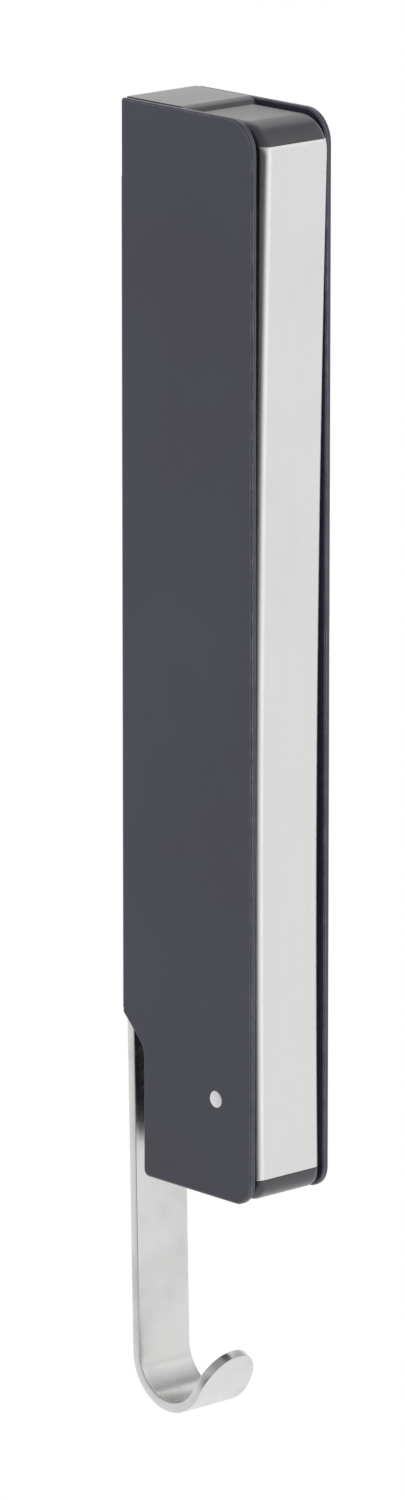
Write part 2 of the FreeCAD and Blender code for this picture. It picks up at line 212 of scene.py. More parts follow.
def corner(radius: float, half: float, steps: int = 8, length: float | None = None) -> Outline:
    """A rounded corner at the start of a sheet.

    At angle t the outline is radius * (1 - sin t) short of the side and length * (1 - cos t) from
    the end, a quarter of an ellipse.

    Args:
        radius: the corner's reach across the sheet.
        half: the sheet's half width.
        steps: number of steps round the corner.
        length: the corner's reach along the sheet, or None for a round corner.

    Returns:
        Distances from the end, and the half width at each.
    """
    turn = np.linspace(0.0, math.pi / 2, steps + 1)
    return (length or radius) * (1.0 - np.cos(turn)), half - radius * (1.0 - np.sin(turn))


def flat_outline(start: Outline, middle: np.ndarray, end: Outline, length: float,
                 half: float) -> Outline:
    """The outline of a sheet from its two rounded ends and the even stretch between them.

    Args:
        start: the corner at the start.
        middle: the stations between the corners.
        end: the corner at the end, counted from the end.
        length: the sheet's length.
        half: the half width of the even stretch.

    Returns:
        Stations along the sheet, and the half width at each.
    """
    along = np.concatenate([start[0][:-1], middle, (length - end[0][::-1])[1:]])
    return along, np.concatenate([start[1][:-1], np.full(len(middle), half), end[1][::-1][1:]])


def loop_of(block: np.ndarray) -> np.ndarray:
    """The border of a block of grid values, in order round it."""
    return np.concatenate([block[0, :-1], block[:-1, -1], block[-1, :0:-1], block[:0:-1, 0]])


@dataclass(frozen=True)
class Hole:
    """A round hole through a sheet, inside a square of the sheet's grid.

    Its wall is a line of (share of the sheet's thickness, radius) points, from face to face. The
    square is twice half wide.
    """

    along: float
    wall: tuple[tuple[float, float], ...]
    half: float
    across: float = 0.0


@dataclass
class BentSheet:
    """A sheet of even thickness with rounded edges, laid over a bent surface.

    The sheet is symmetric about its middle line. Its outline is given in the flat: station `along`
    has the half width `half`. A point of the solid is place(across, along, depth), where depth runs
    from one face to the other. The edge is a half-round band: at angle f from the face it stands
    edge * (1 - sin f) inside the outline and edge * (1 - cos f) below the face.
    """

    along: np.ndarray
    half: np.ndarray
    thickness: float
    edge: float
    place: Place
    columns: np.ndarray
    holes: tuple[Hole, ...] = ()
    edge_steps: int = 5
    collar_steps: int = 3

    def outward(self) -> np.ndarray:
        """Directions that point out of the flat outline at each station of its right side.

        The direction is the outline's tangent turned by a right angle. Both ends of the sheet are
        straight across, so the first and last direction run along it.

        Returns:
            An array of (across, along) unit vectors.
        """
        steps = np.hypot(np.diff(self.half), np.diff(self.along))
        path = np.concatenate([[0.0], np.cumsum(steps)])
        tangent = np.stack([np.gradient(self.half, path), np.gradient(self.along, path)], axis=1)
        out = np.stack([tangent[:, 1], -tangent[:, 0]], axis=1)
        out[0] = (0.0, -1.0)
        out[-1] = (0.0, 1.0)
        return out / np.linalg.norm(out, axis=1, keepdims=True)

    def flat_grid(self) -> tuple[np.ndarray, np.ndarray]:
        """The face's grid in the flat, drawn in by the edge's radius.

        Returns:
            The grid's coordinates across and along the sheet.
        """
        out = self.outward()
        across = (self.half - out[:, 0] * self.edge)[:, None] * self.columns[None, :]
        along = self.along - out[:, 1] * self.edge
        return across, np.repeat(along[:, None], len(self.columns), axis=1)

    def rim(self) -> np.ndarray:
        """The half-round band all the way round.

        Returns:
            A grid of points, one row for each step through the thickness.
        """
        out = self.outward()
        inner = self.columns[1:-1]
        across = np.concatenate([self.half, inner[::-1] * self.half[-1], -self.half[::-1],
                                 inner * self.half[0]])
        along = np.concatenate([self.along, np.full(len(inner), self.along[-1]), self.along[::-1],
                                np.full(len(inner), self.along[0])])
        end, start = (np.tile(out[index], (len(inner), 1)) for index in (-1, 0))
        normal = np.concatenate([out, end, out[::-1] * (-1.0, 1.0), start])
        turn = np.linspace(0.0, math.pi / 2, self.edge_steps + 1)
        inset = self.edge * (1.0 - np.sin(turn))
        depth = self.edge * (1.0 - np.cos(turn))
        inset = np.concatenate([inset, inset[::-1]])[:, None]
        depth = np.concatenate([depth, self.thickness - depth[::-1]])[:, None]
        return self.place(across - normal[:, 0] * inset, along - normal[:, 1] * inset,
                          np.broadcast_to(depth, (len(depth), len(across))))

    def block_of(self, hole: Hole, across: np.ndarray, along: np.ndarray) -> tuple[slice, slice]:
        """The rows and columns of the face grid that make room for a hole.

        Args:
            hole: the hole.
            across: the grid's coordinates across the sheet.
            along: the grid's coordinates along the sheet.

        Returns:
            The slices of rows and columns, both ends included.
        """
        rows = [int(np.argmin(abs(along[:, 0] - hole.along - side * hole.half))) for side in (-1, 1)]
        middle = (rows[0] + rows[1]) // 2
        columns = [int(np.argmin(abs(across[middle] - hole.across - side * hole.half)))
                   for side in (-1, 1)]
        return slice(rows[0], rows[1] + 1), slice(columns[0], columns[1] + 1)

    def add_hole(self, shell: Shell, hole: Hole, across: np.ndarray, along: np.ndarray) -> None:
        """Joins a square opening in both faces to the round wall of a hole.

        Each point of the square moves straight towards the middle of the hole, until it is as far
        from it as the wall's radius says. The rows between are even steps of that way.

        Args:
            shell: where the patches go.
            hole: the hole.
            across: the square's points across the sheet.
            along: the square's points along the sheet.
        """
        angle = np.arctan2(along - hole.along, across - hole.across)
        share, radius = np.array(hole.wall).T
        round_across = hole.across + radius[:, None] * np.cos(angle)
        round_along = hole.along + radius[:, None] * np.sin(angle)
        depth = np.repeat(share[:, None] * self.thickness, len(angle), axis=1)
        shell.add(self.place(round_across, round_along, depth), wrap=True)
        steps = np.linspace(0.0, 1.0, self.collar_steps + 1)[:, None]
        for end in (0, -1):
            between = across + (round_across[end] - across) * steps
            shell.add(self.place(between, along + (round_along[end] - along) * steps,
                                 np.full_like(between, depth[end, 0])), wrap=True)

    def build(self, name: str) -> bpy.types.Object:
        """Makes both faces, the rim and the walls of the holes.

        Args:
            name: the piece's name.

        Returns:
            The new object.
        """
        shell = Shell()
        across, along = self.flat_grid()
        keep = np.ones((across.shape[0] - 1, across.shape[1] - 1), bool)
        for hole in self.holes:
            rows, columns = self.block_of(hole, across, along)
            keep[rows.start:rows.stop - 1, columns.start:columns.stop - 1] = False
            self.add_hole(shell, hole, loop_of(across[rows, columns]), loop_of(along[rows, columns]))
        for depth in (0.0, self.thickness):
            shell.add(self.place(across, along, np.full_like(across, depth)), keep=keep)
        shell.add(self.rim(), wrap=True)
        return shell.piece(name)


def swept(name: str, start: Vector, direction: Vector, line: np.ndarray, segments: int,
          smooth_angle: float = 32.0) -> bpy.types.Object:
    """A surface swept round an axis.

    At angle a a point stands at start + distance * axis + radius * (cos a * side + sin a * other),
    where side and other are square to the axis and to each other.

    Args:
        name: the piece's name.
        start: the point on the axis that distances are counted from.
        direction: the axis.
        line: rows of (distance along, radius), each one point or one for each segment.
        segments: number of columns round the axis.
        smooth_angle: faces that meet at less than this many degrees are shaded as one.

    Returns:
        The new object.
    """
    if line.ndim == 2:
        line = np.repeat(line[:, None], segments, axis=1)
    angles = np.arange(segments) * (FULL_TURN / segments)
    axis = np.array(direction.normalized())
    side = np.array(direction.orthogonal().normalized())
    spoke = np.cos(angles)[:, None] * side + np.sin(angles)[:, None] * np.cross(axis, side)
    shell = Shell()
    shell.add(np.array(start) + line[..., :1] * axis + line[..., 1:] * spoke, wrap=True)
    return shell.piece(name, smooth_angle)


@dataclass(frozen=True)
class Turned:
    """A turned disc, pin or ring with rounded edges.

    Each rounding is the quadratic curve that leaves one side at the corner's reach and joins the
    other: (1 - t)^2 * before + 2 t (1 - t) * corner + t^2 * after.
    """

    start: Vector
    direction: Vector
    radius: float
    length: float
    rounding: float
    bore: float = 0.0
    bore_rounding: float = 0.0
    segments: int = 64
    steps: int = 4

    def line(self) -> np.ndarray:
        """The line that is swept round the axis, closed on a ring.

        Returns:
            Rows of (distance along, radius).
        """
        reach = (self.bore_rounding, self.rounding, self.rounding, self.bore_rounding)
        points = np.array([(0.0, self.bore), (0.0, self.radius), (self.length, self.radius),
                           (self.length, self.bore)])
        t = np.linspace(0.0, 1.0, self.steps + 1)[:, None]
        line: list[np.ndarray] = []
        for index, here in enumerate(points):
            if reach[index] <= 0.0:
                line.append(here[None])
                continue
            ways = (points[index - 1] - here, points[(index + 1) % len(points)] - here)
            before, after = (here + way / np.linalg.norm(way) * reach[index] for way in ways)
            line.append((1 - t) ** 2 * before + 2 * t * (1 - t) * here + t**2 * after)
        return np.concatenate(line + [line[0][:1]] if self.bore else line)

    def build(self, name: str) -> bpy.types.Object:
        """Makes the piece of that name."""
        return swept(name, self.start, self.direction, self.line(), self.segments)


# rows of a screw's recess, as shares of its depth and its radius, from the middle of its floor up
RECESS_ROWS = ((1.0, 0.0), (0.96, 0.45), (0.9, 0.9), (0.12, 1.0), (0.0, 1.08))
# rows of the rim of its head, as shares of the head's radius
RIM_ROWS = ((0.0, 0.95), (0.02, 0.985), (0.06, 1.0), (0.1, 0.985))


@dataclass(frozen=True)
class Screw:
    """A countersunk screw with a six-lobed recess and a rolled thread.

    The surface is one sheet of (distance along, radius) rows swept round the axis. In the recess
    the radius is r * (1 + lobe_share * cos 6a). Along the shank it is the core's radius plus a
    ridge that falls off either side of the helix: depth * |1 - 2 * frac(distance / pitch - a / 2 pi)|.
    The recess is given in shares of the head's radius, the thread's depth in shares of the pitch
    and the tip in shares of the shank's radius.
    """

    start: Vector
    direction: Vector
    head_radius: float
    shank_radius: float
    length: float
    pitch: float
    recess_share: float = 0.5
    recess_depth: float = 0.62
    lobes: int = 6
    lobe_share: float = 0.13
    thread_depth: float = 0.32
    tip_share: float = 0.55
    rows_per_turn: int = 8
    segments: int = 48
    smooth_angle: float = 50.0

    def build(self, name: str) -> bpy.types.Object:
        """Makes the screw.

        Args:
            name: the piece's name.

        Returns:
            The new object.
        """
        angles = np.arange(self.segments) * (FULL_TURN / self.segments)
        head, shank, pitch = self.head_radius, self.shank_radius, self.pitch
        cone = head - shank
        recess = np.array(RECESS_ROWS) * (head * self.recess_depth, head * self.recess_share)
        recess = np.repeat(recess[:, None], self.segments, axis=1)
        recess[..., 1] *= 1.0 + self.lobe_share * np.cos(self.lobes * angles)
        rim = np.concatenate([np.array(RIM_ROWS) * head, [(cone, shank)]])
        rows = stations((cone + pitch, self.length - pitch, pitch / self.rows_per_turn))
        turn = rows[:, None] / pitch - angles[None, :] / FULL_TURN
        ridge = np.abs(1.0 - 2.0 * (turn - np.floor(turn)))
        fade = np.clip((self.length - pitch - rows) / pitch, 0.0, 1.0)[:, None]
        lead = np.clip((rows - cone - pitch) / pitch, 0.0, 1.0)[:, None]
        radius = shank - pitch * self.thread_depth * (1.0 - ridge) * lead
        radius = radius * (self.tip_share + (1.0 - self.tip_share) * np.sqrt(fade))
        thread = np.stack([np.repeat(rows[:, None], self.segments, axis=1), radius], axis=-1)
        rim, tip = (np.repeat(part[:, None], self.segments, axis=1)
                    for part in (rim, np.array([(self.length, 0.0)])))
        return swept(name, self.start, self.direction, np.concatenate([recess, rim, thread, tip]),
                     self.segments, self.smooth_angle)


# shader trees


@dataclass(frozen=True)
class Wiring:
    """Adds shader nodes to one tree and joins them."""

    tree: bpy.types.NodeTree

    @classmethod
    def of(cls, owner: bpy.types.Material | bpy.types.World) -> "Wiring":
        """Empties the tree of a material or a world.

        Args:
            owner: the material or the world.

        Returns:
            The wiring of its tree.
        """
        owner.use_nodes = True
        owner.node_tree.nodes.clear()
        return cls(owner.node_tree)

    def feed(self, node: bpy.types.Node, inputs: dict[str | int, object]) -> bpy.types.Node:
        """Sets inputs of a node.

        Args:
            node: the node.
            inputs: values or output sockets, by the input's name or index.

        Returns:
            The node.
        """
        for key, value in inputs.items():
            if isinstance(value, Socket):
                self.tree.links.new(value, node.inputs[key])
            else:
                node.inputs[key].default_value = value
        return node

    def add(self, kind: str, inputs: dict[str | int, object] | None = None,
            **settings: object) -> bpy.types.Node:
        """Adds one node.

        Args:
            kind: the node's type name, or that without its ShaderNode prefix.
            inputs: values or output sockets, by the input's name or index.
            settings: properties of the node itself.

        Returns:
            The node.
        """
        node = self.tree.nodes.new(kind if kind.startswith("Node") else "ShaderNode" + kind)
        for name, value in settings.items():
            setattr(node, name, value)
        return self.feed(node, inputs or {})

    def calc(self, operation: str, *values: object) -> Socket:
        """A Math node's result for values in order."""
        return self.add("Math", dict(enumerate(values)), operation=operation).outputs[0]

    def times(self, first: object, second: object) -> Socket:
        """The product of two numbers."""
        return self.calc("MULTIPLY", first, second)

    def vector(self, operation: str, *values: object) -> bpy.types.Node:
        """A Vector Math node for values in order."""
        return self.add("VectorMath", dict(enumerate(values)), operation=operation)

    def noise(self, place: Socket, scale: object, detail: float = 2.0,
              roughness: float = 0.5) -> Socket:
        """The value of a noise texture at a place."""
        return self.add("TexNoise", {"Vector": place, "Scale": scale, "Detail": detail,
                                     "Roughness": roughness}).outputs["Fac"]

    def spread(self, value: Socket, low: float, high: float, start: float = 0.0,
               end: float = 1.0) -> Socket:
        """Maps a value from start..end to low..high, clamped."""
        return self.add("MapRange", {"Value": value, "From Min": start, "From Max": end,
                                     "To Min": low, "To Max": high}).outputs["Result"]

    def stretched(self, noise: Socket) -> Socket:
        """A noise value stretched from its usual range of 0.3 to 0.7 to the whole of 0 to 1."""
        return self.spread(noise, 0.0, 1.0, 0.3, 0.7)

    def blend(self, mask: Socket, low: object, high: object) -> Socket:
        """A colour between two: the first where the mask is 0, the second where it is 1."""
        return self.add("Mix", {0: mask, 6: low, 7: high}, data_type="RGBA").outputs[2]


def group(name: str, numbers: dict[str, float],
          *outputs: str) -> tuple[Wiring, bpy.types.NodeOutputs, bpy.types.Node]:
    """Starts a shader node group that takes a vector and numbers and puts out numbers.

    Args:
        name: the group's name.
        numbers: the default of each number that it takes.
        outputs: the names of what it puts out.

    Returns:
        Its wiring, what it is given, and the node for its results.
    """
    tree = bpy.data.node_groups.new(name, "ShaderNodeTree")
    tree.interface.new_socket("Vector", in_out="INPUT", socket_type="NodeSocketVector")
    for socket, value in numbers.items():
        made = tree.interface.new_socket(socket, in_out="INPUT", socket_type="NodeSocketFloat")
        made.default_value = value
    for socket in outputs:
        tree.interface.new_socket(socket, in_out="OUTPUT", socket_type="NodeSocketFloat")
    wiring = Wiring(tree)
    return wiring, wiring.add("NodeGroupInput").outputs, wiring.add("NodeGroupOutput")


class Effects:
    """The surface effects that several finishes share, each built once."""

    def __init__(self) -> None:
        """Builds every group."""
        self.brushed = self.make_brushed()
        self.grain = self.make_grain()
        # rubbed edges that also carry a painted edge highlight
        self.wear_and_highlight = self.make_wear_and_highlight()
        # smudged patches that also paint dark reflections
        self.smudge_and_reflection = self.make_smudge_and_reflection()

    @staticmethod
    def make_brushed() -> bpy.types.NodeTree:
        """Brush marks: noise drawn out along one direction by the vector's own scale.

        Returns:
            A group with a fine line value and a broad band value.
        """
        wiring, given, result = group("brush_marks", {"Broad": 0.12}, "Line", "Band")
        fine = wiring.noise(given["Vector"], scale=1.0, detail=5.0, roughness=0.72)
        wide = wiring.add("VectorMath", {"Vector": given["Vector"], "Scale": given["Broad"]},
                          operation="SCALE").outputs[0]
        wiring.feed(result, {"Line": wiring.stretched(fine),
                             "Band": wiring.stretched(wiring.noise(wide, scale=1.0))})
        return wiring.tree

    @staticmethod
    def make_grain() -> bpy.types.NodeTree:
        """Fine even grain of a powder coat or a moulded face: mostly noise, with round pits.

        Returns:
            A group with the grain's height and a slow change of tone.
        """
        wiring, given, result = group("fine_grain", {"Grains": 3200.0, "Patches": 45.0}, "Height",
                                      "Tone")
        noise_share = 0.65
        grains = wiring.noise(given["Vector"], given["Grains"], detail=3.0, roughness=0.6)
        pits = wiring.add("TexVoronoi", {"Vector": given["Vector"], "Scale": given["Grains"]})
        height = wiring.calc("ADD", wiring.times(grains, noise_share),
                             wiring.times(pits.outputs["Distance"], 1.0 - noise_share))
        tone = wiring.stretched(wiring.noise(given["Vector"], given["Patches"], detail=4.0))
        wiring.feed(result, {"Height": height, "Tone": tone})
        return wiring.tree

    @staticmethod
    def make_wear_and_highlight() -> bpy.types.NodeTree:
        """Rubbed edges with a painted edge highlight: where a bevelled normal leaves the face's own,
        broken up by noise.

        Returns:
            A group with a mask that is 1 on a rubbed edge, which also takes a painted highlight.
        """
        wiring, given, result = group("worn_and_highlit_edges", {"Reach": 0.0006, "Amount": 0.5}, "Mask")
        worn_cosine, flat_cosine = 0.86, 0.995
        bevel = wiring.add("Bevel", {"Radius": given["Reach"]}, samples=6)
        along = wiring.vector("DOT_PRODUCT", bevel.outputs["Normal"],
                              wiring.add("NewGeometry").outputs["Normal"])
        edge = wiring.spread(along.outputs["Value"], 1.0, 0.0, worn_cosine, flat_cosine)
        broken = wiring.noise(given["Vector"], scale=260.0, detail=5.0, roughness=0.7)
        chips = wiring.spread(broken, low=0.4, high=1.0, start=0.42, end=0.62)
        wiring.feed(result, {"Mask": wiring.times(wiring.times(edge, chips), given["Amount"])})
        return wiring.tree

    @staticmethod
    def make_smudge_and_reflection() -> bpy.types.NodeTree:
        """Faint smudged patches and painted dark reflections: a slow noise bent by another one, kept to
        its peaks.

        Returns:
            A group with a mask.
        """
        wiring, given, result = group("hand_marks_and_dark_reflections", {"Size": 28.0}, "Mask")
        bend = wiring.add("TexNoise", {"Vector": given["Vector"], "Scale": 12.0})
        reach = (30.0 * MM, 30.0 * MM, 30.0 * MM)
        moved = wiring.vector("MULTIPLY_ADD", bend.outputs["Color"], reach, given["Vector"])
        marks = wiring.noise(moved.outputs[0], given["Size"], detail=6.0, roughness=0.62)
        wiring.feed(result, {"Mask": wiring.spread(marks, 0.0, 1.0, start=0.5, end=0.75)})
        return wiring.tree


# finishes


@dataclass(frozen=True)
class Finish:
    """What every finish has: a name, a colour, a roughness and a relief in millimetres."""

    name: str
    colour: Colour
    roughness: float
    height: float = 0.004

    def shade(self, factor: float) -> tuple[float, float, float, float]:
        """The finish's colour times a factor, with full opacity."""
        return (self.colour[0] * factor, self.colour[1] * factor, self.colour[2] * factor, 1.0)

    def plain(self) -> dict[str, float]:
        """The shader's values that are the same all over."""
        return {"Metallic": 1.0}

    def surface(self, wiring: Wiring, place: Socket, effects: Effects) -> tuple[Socket, Socket, Socket]:
        """Works out what changes over the surface.

        Args:
            wiring: the material's wiring.
            place: the Object coordinates.
            effects: the shared groups.

        Returns:
            The colour, the roughness and the height.
        """
        raise NotImplementedError

    def build(self, effects: Effects) -> bpy.types.Material:
        """Makes the material.

        Args:
            effects: the shared groups.

        Returns:
            The material.
        """
        material = bpy.data.materials.new(self.name)
        material.diffuse_color = self.shade(1.0)
        wiring = Wiring.of(material)
        shader = wiring.add("BsdfPrincipled", {"Base Color": self.shade(1.0),
                                               "Roughness": self.roughness, **self.plain()})
        wiring.add("OutputMaterial", {"Surface": shader.outputs[0]})
        place = wiring.add("TexCoord").outputs["Object"]
        colour, roughness, height = self.surface(wiring, place, effects)
        bump = wiring.add("Bump", {"Height": height, "Distance": self.height * MM, "Strength": 1.0})
        wiring.feed(shader, {"Base Color": colour, "Roughness": roughness, "Normal": bump.outputs[0]})
        return material


@dataclass(frozen=True)
class BrushedMetal(Finish):
    """Metal with brush marks along one direction: they change its tone, roughness and height.

    The lines field is the number of marks per metre along X, Y and Z: the direction with the
    smallest number is the one that the marks follow.
    """

    lines: tuple[float, float, float] = (5200.0, 5200.0, 14.0)
    swing: float = 0.1
    tone: float = 0.07
    # strength of the darker patches: smudging and painted dark reflections
    smudges_and_dark_reflections: float = 0.05
    line_share: float = 0.6
    dark_reflection_shade: float = 0.6

    def surface(self, wiring: Wiring, place: Socket, effects: Effects) -> tuple[Socket, Socket, Socket]:
        """Mixes fine lines with broad bands, and lays darker patches over them, smudging that also paints
        dark reflections.

        Args:
            wiring: the material's wiring.
            place: the Object coordinates.
            effects: the shared groups.

        Returns:
            The colour, the roughness and the height.
        """
        drawn = wiring.add("Mapping", {"Vector": place, "Scale": self.lines}).outputs[0]
        marks = wiring.add("Group", {"Vector": drawn}, node_tree=effects.brushed).outputs
        smudge_reflection_marks = wiring.add("Group", {"Vector": place}, node_tree=effects.smudge_and_reflection).outputs
        smudge_reflection_mask = wiring.times(smudge_reflection_marks["Mask"], self.smudges_and_dark_reflections)
        mixed = wiring.calc("ADD", wiring.times(marks["Line"], self.line_share),
                            wiring.times(marks["Band"], 1.0 - self.line_share))
        toned = wiring.blend(mixed, self.shade(1.0 - self.tone), self.shade(1.0 + self.tone))
        # the darker patches are smudging and painted dark reflections
        colour = wiring.blend(smudge_reflection_mask, toned, self.shade(self.dark_reflection_shade))
        rough = wiring.spread(mixed, self.roughness - self.swing, self.roughness + self.swing)
        return colour, wiring.calc("ADD", rough, smudge_reflection_mask), marks["Line"]


@dataclass(frozen=True)
class TurnedMetal(Finish):
    """Metal turned on a lathe: rings round an axis along X that passes through a point."""

    height: float = 0.003
    centre: tuple[float, float, float] = (0.0, 0.0, 0.0)
    rings: float = 9000.0
    tones: tuple[float, float] = (0.88, 1.08)
    swing: tuple[float, float] = (-0.06, 0.08)
    age: float = 0.16
    aged: float = 0.7

    def surface(self, wiring: Wiring, place: Socket, effects: Effects) -> tuple[Socket, Socket, Socket]:
        """Reads a noise by the distance from the axis, and lays slow patches over it.

        Args:
            wiring: the material's wiring.
            place: the Object coordinates.
            effects: the shared groups.

        Returns:
            The colour, the roughness and the height.
        """
        moved = wiring.add("Mapping", {"Vector": place, "Location": tuple(-v for v in self.centre)})
        across = wiring.vector("MULTIPLY", moved.outputs[0], (0.0, 1.0, 1.0))
        radius = wiring.vector("LENGTH", across.outputs[0]).outputs["Value"]
        rings = wiring.add("TexNoise", {"W": radius, "Scale": self.rings, "Detail": 4.0,
                                        "Roughness": 0.7}, noise_dimensions="1D")
        value = wiring.stretched(rings.outputs["Fac"])
        grain = wiring.add("Group", {"Vector": place}, node_tree=effects.grain).outputs
        toned = wiring.blend(value, self.shade(self.tones[0]), self.shade(self.tones[1]))
        colour = wiring.blend(wiring.times(grain["Tone"], self.age), toned, self.shade(self.aged))
        rough = wiring.spread(value, self.roughness + self.swing[0], self.roughness + self.swing[1])
        return colour, rough, value


@dataclass(frozen=True)
class GrainedCoat(Finish):
    """A dark coat or moulded plastic: fine grain, slow tone changes, and rubbed edges painted lighter,
    partly as a painted edge highlight.
    """

    height: float = 0.01
    grains: float = 3200.0
    patches: float = 45.0
    mottle: float = 0.1
    grain_share: float = 0.3
    swing: float = 0.05
    wear_and_highlight: float = 0.5
    reach: float = 0.6 * MM
    # edge colour: rubbing, and on the powder coat chiefly a painted highlight along the bevels
    worn_and_highlit: Colour = (0.2, 0.2, 0.21)
    polish: float = 0.12
    coat: float = 0.0
    coat_roughness: float = 0.25

    def plain(self) -> dict[str, float]:
        """The shader's values that are the same all over."""
        return {"Coat Weight": self.coat, "Coat Roughness": self.coat_roughness}

    def surface(self, wiring: Wiring, place: Socket, effects: Effects) -> tuple[Socket, Socket, Socket]:
        """Mixes grain with slow patches, paints the edges lighter as rubbing and as a painted highlight,
        and polishes them.

        Args:
            wiring: the material's wiring.
            place: the Object coordinates.
            effects: the shared groups.

        Returns:
            The colour, the roughness and the height.
        """
        grain = wiring.add("Group", {"Vector": place, "Grains": self.grains, "Patches": self.patches},
                           node_tree=effects.grain).outputs
        mask = wiring.add("Group", {"Vector": place, "Reach": self.reach, "Amount": self.wear_and_highlight},
                          node_tree=effects.wear_and_highlight).outputs["Mask"]
        speck = wiring.calc("MULTIPLY_ADD", grain["Height"], self.grain_share,
                            wiring.times(grain["Tone"], 1.0 - self.grain_share))
        toned = wiring.blend(speck, self.shade(1.0 - self.mottle), self.shade(1.0 + self.mottle))
        rough = wiring.spread(speck, self.roughness - self.swing, self.roughness + self.swing)
        # the lighter edge colour is rubbing and a painted highlight
        return (wiring.blend(mask, toned, (*self.worn_and_highlit, 1.0)),
                wiring.calc("SUBTRACT", rough, wiring.times(mask, self.polish)), grain["Height"])


# the object's own finishes

# the powder coat's light grey edges are a painted highlight along its bevels, with some rubbing
COAT = GrainedCoat("anthracite_powder_coat", (0.050, 0.053, 0.088), 0.34, height=0.005, grains=3600.0,
                   patches=14.0, mottle=0.35, wear_and_highlight=1.0, reach=0.7 * MM, worn_and_highlit=(0.44, 0.44, 0.46),
                   coat=0.12)
MOULDED = GrainedCoat("anthracite_moulded", (0.052, 0.053, 0.062), 0.30, height=0.003, grains=2400.0,
                      wear_and_highlight=0.25, coat=0.6)
ARM_MOULDED = GrainedCoat("anthracite_moulded_arm", (0.050, 0.051, 0.061), 0.36, height=0.005,
                          grains=2400.0, wear_and_highlight=0.25, coat=0.45)
RUBBER = GrainedCoat("soft_rubber", (0.022, 0.022, 0.024), 0.72, height=0.02, grains=1800.0,
                     wear_and_highlight=0.15, worn_and_highlit=(0.07, 0.07, 0.07))
ACETAL = GrainedCoat("bearing_plastic", (0.62, 0.61, 0.57), 0.38, height=0.004, grains=2600.0,
                     mottle=0.03, wear_and_highlight=0.1, worn_and_highlit=(0.5, 0.48, 0.43))
# the bar's strong darker patches paint dark reflections on its face, with some smudging
BAR_STEEL = BrushedMetal("brushed_bar_steel", (0.68, 0.675, 0.67), 0.24, height=0.002,
                         lines=(5200.0, 16.0, 16.0), swing=0.04, tone=0.022, smudges_and_dark_reflections=0.3)
COVER_STEEL = BrushedMetal("brushed_cover_steel", (0.71, 0.71, 0.71), 0.27, height=0.002, swing=0.04,
                           tone=0.022, smudges_and_dark_reflections=0.08)
ZINC = BrushedMetal("zinc_plated_steel", (0.56, 0.57, 0.6), 0.34, lines=(2600.0, 2600.0, 2600.0),
                    swing=0.12, tone=0.12)
NICKEL = BrushedMetal("nickel_plating", (0.66, 0.63, 0.58), 0.18, lines=(900.0, 900.0, 900.0),
                      swing=0.05, tone=0.05)


class Wardrobe:
    """Builds each finish once and puts it on pieces."""

    def __init__(self) -> None:
        """Starts with the shared effects and no material."""
        self.effects = Effects()
        self.made: dict[str, bpy.types.Material] = {}

    def dress(self, piece: bpy.types.Object, finish: Finish) -> None:
        """Puts a finish on every material slot of a piece.

        Args:
            piece: a new piece or a CAD node.
            finish: the finish.
        """
        if finish.name not in self.made:
            self.made[finish.name] = finish.build(self.effects)
        material = self.made[finish.name]
        if not piece.material_slots:
            piece.data.materials.append(material)
        for place in piece.material_slots:
            place.material = material

    def seat(self, piece: bpy.types.Object, body: Body, slot: Slot, finish: Finish,
             *nodes: str) -> None:
        """Dresses a new piece, ties it to its body and lets it stand for CAD nodes.

        Args:
            piece: the new piece.
            body: the body that it rides on.
            slot: the record's slot for the piece; not used.
            finish: its finish.
            nodes: the CAD nodes that it stands for.
        """
        self.dress(piece, finish)
        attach(piece, body.value)
        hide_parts(*nodes)
        log.info("%s: %d faces, stands for %s", piece.name, len(piece.data.polygons), ", ".join(nodes))


# sub-assemblies


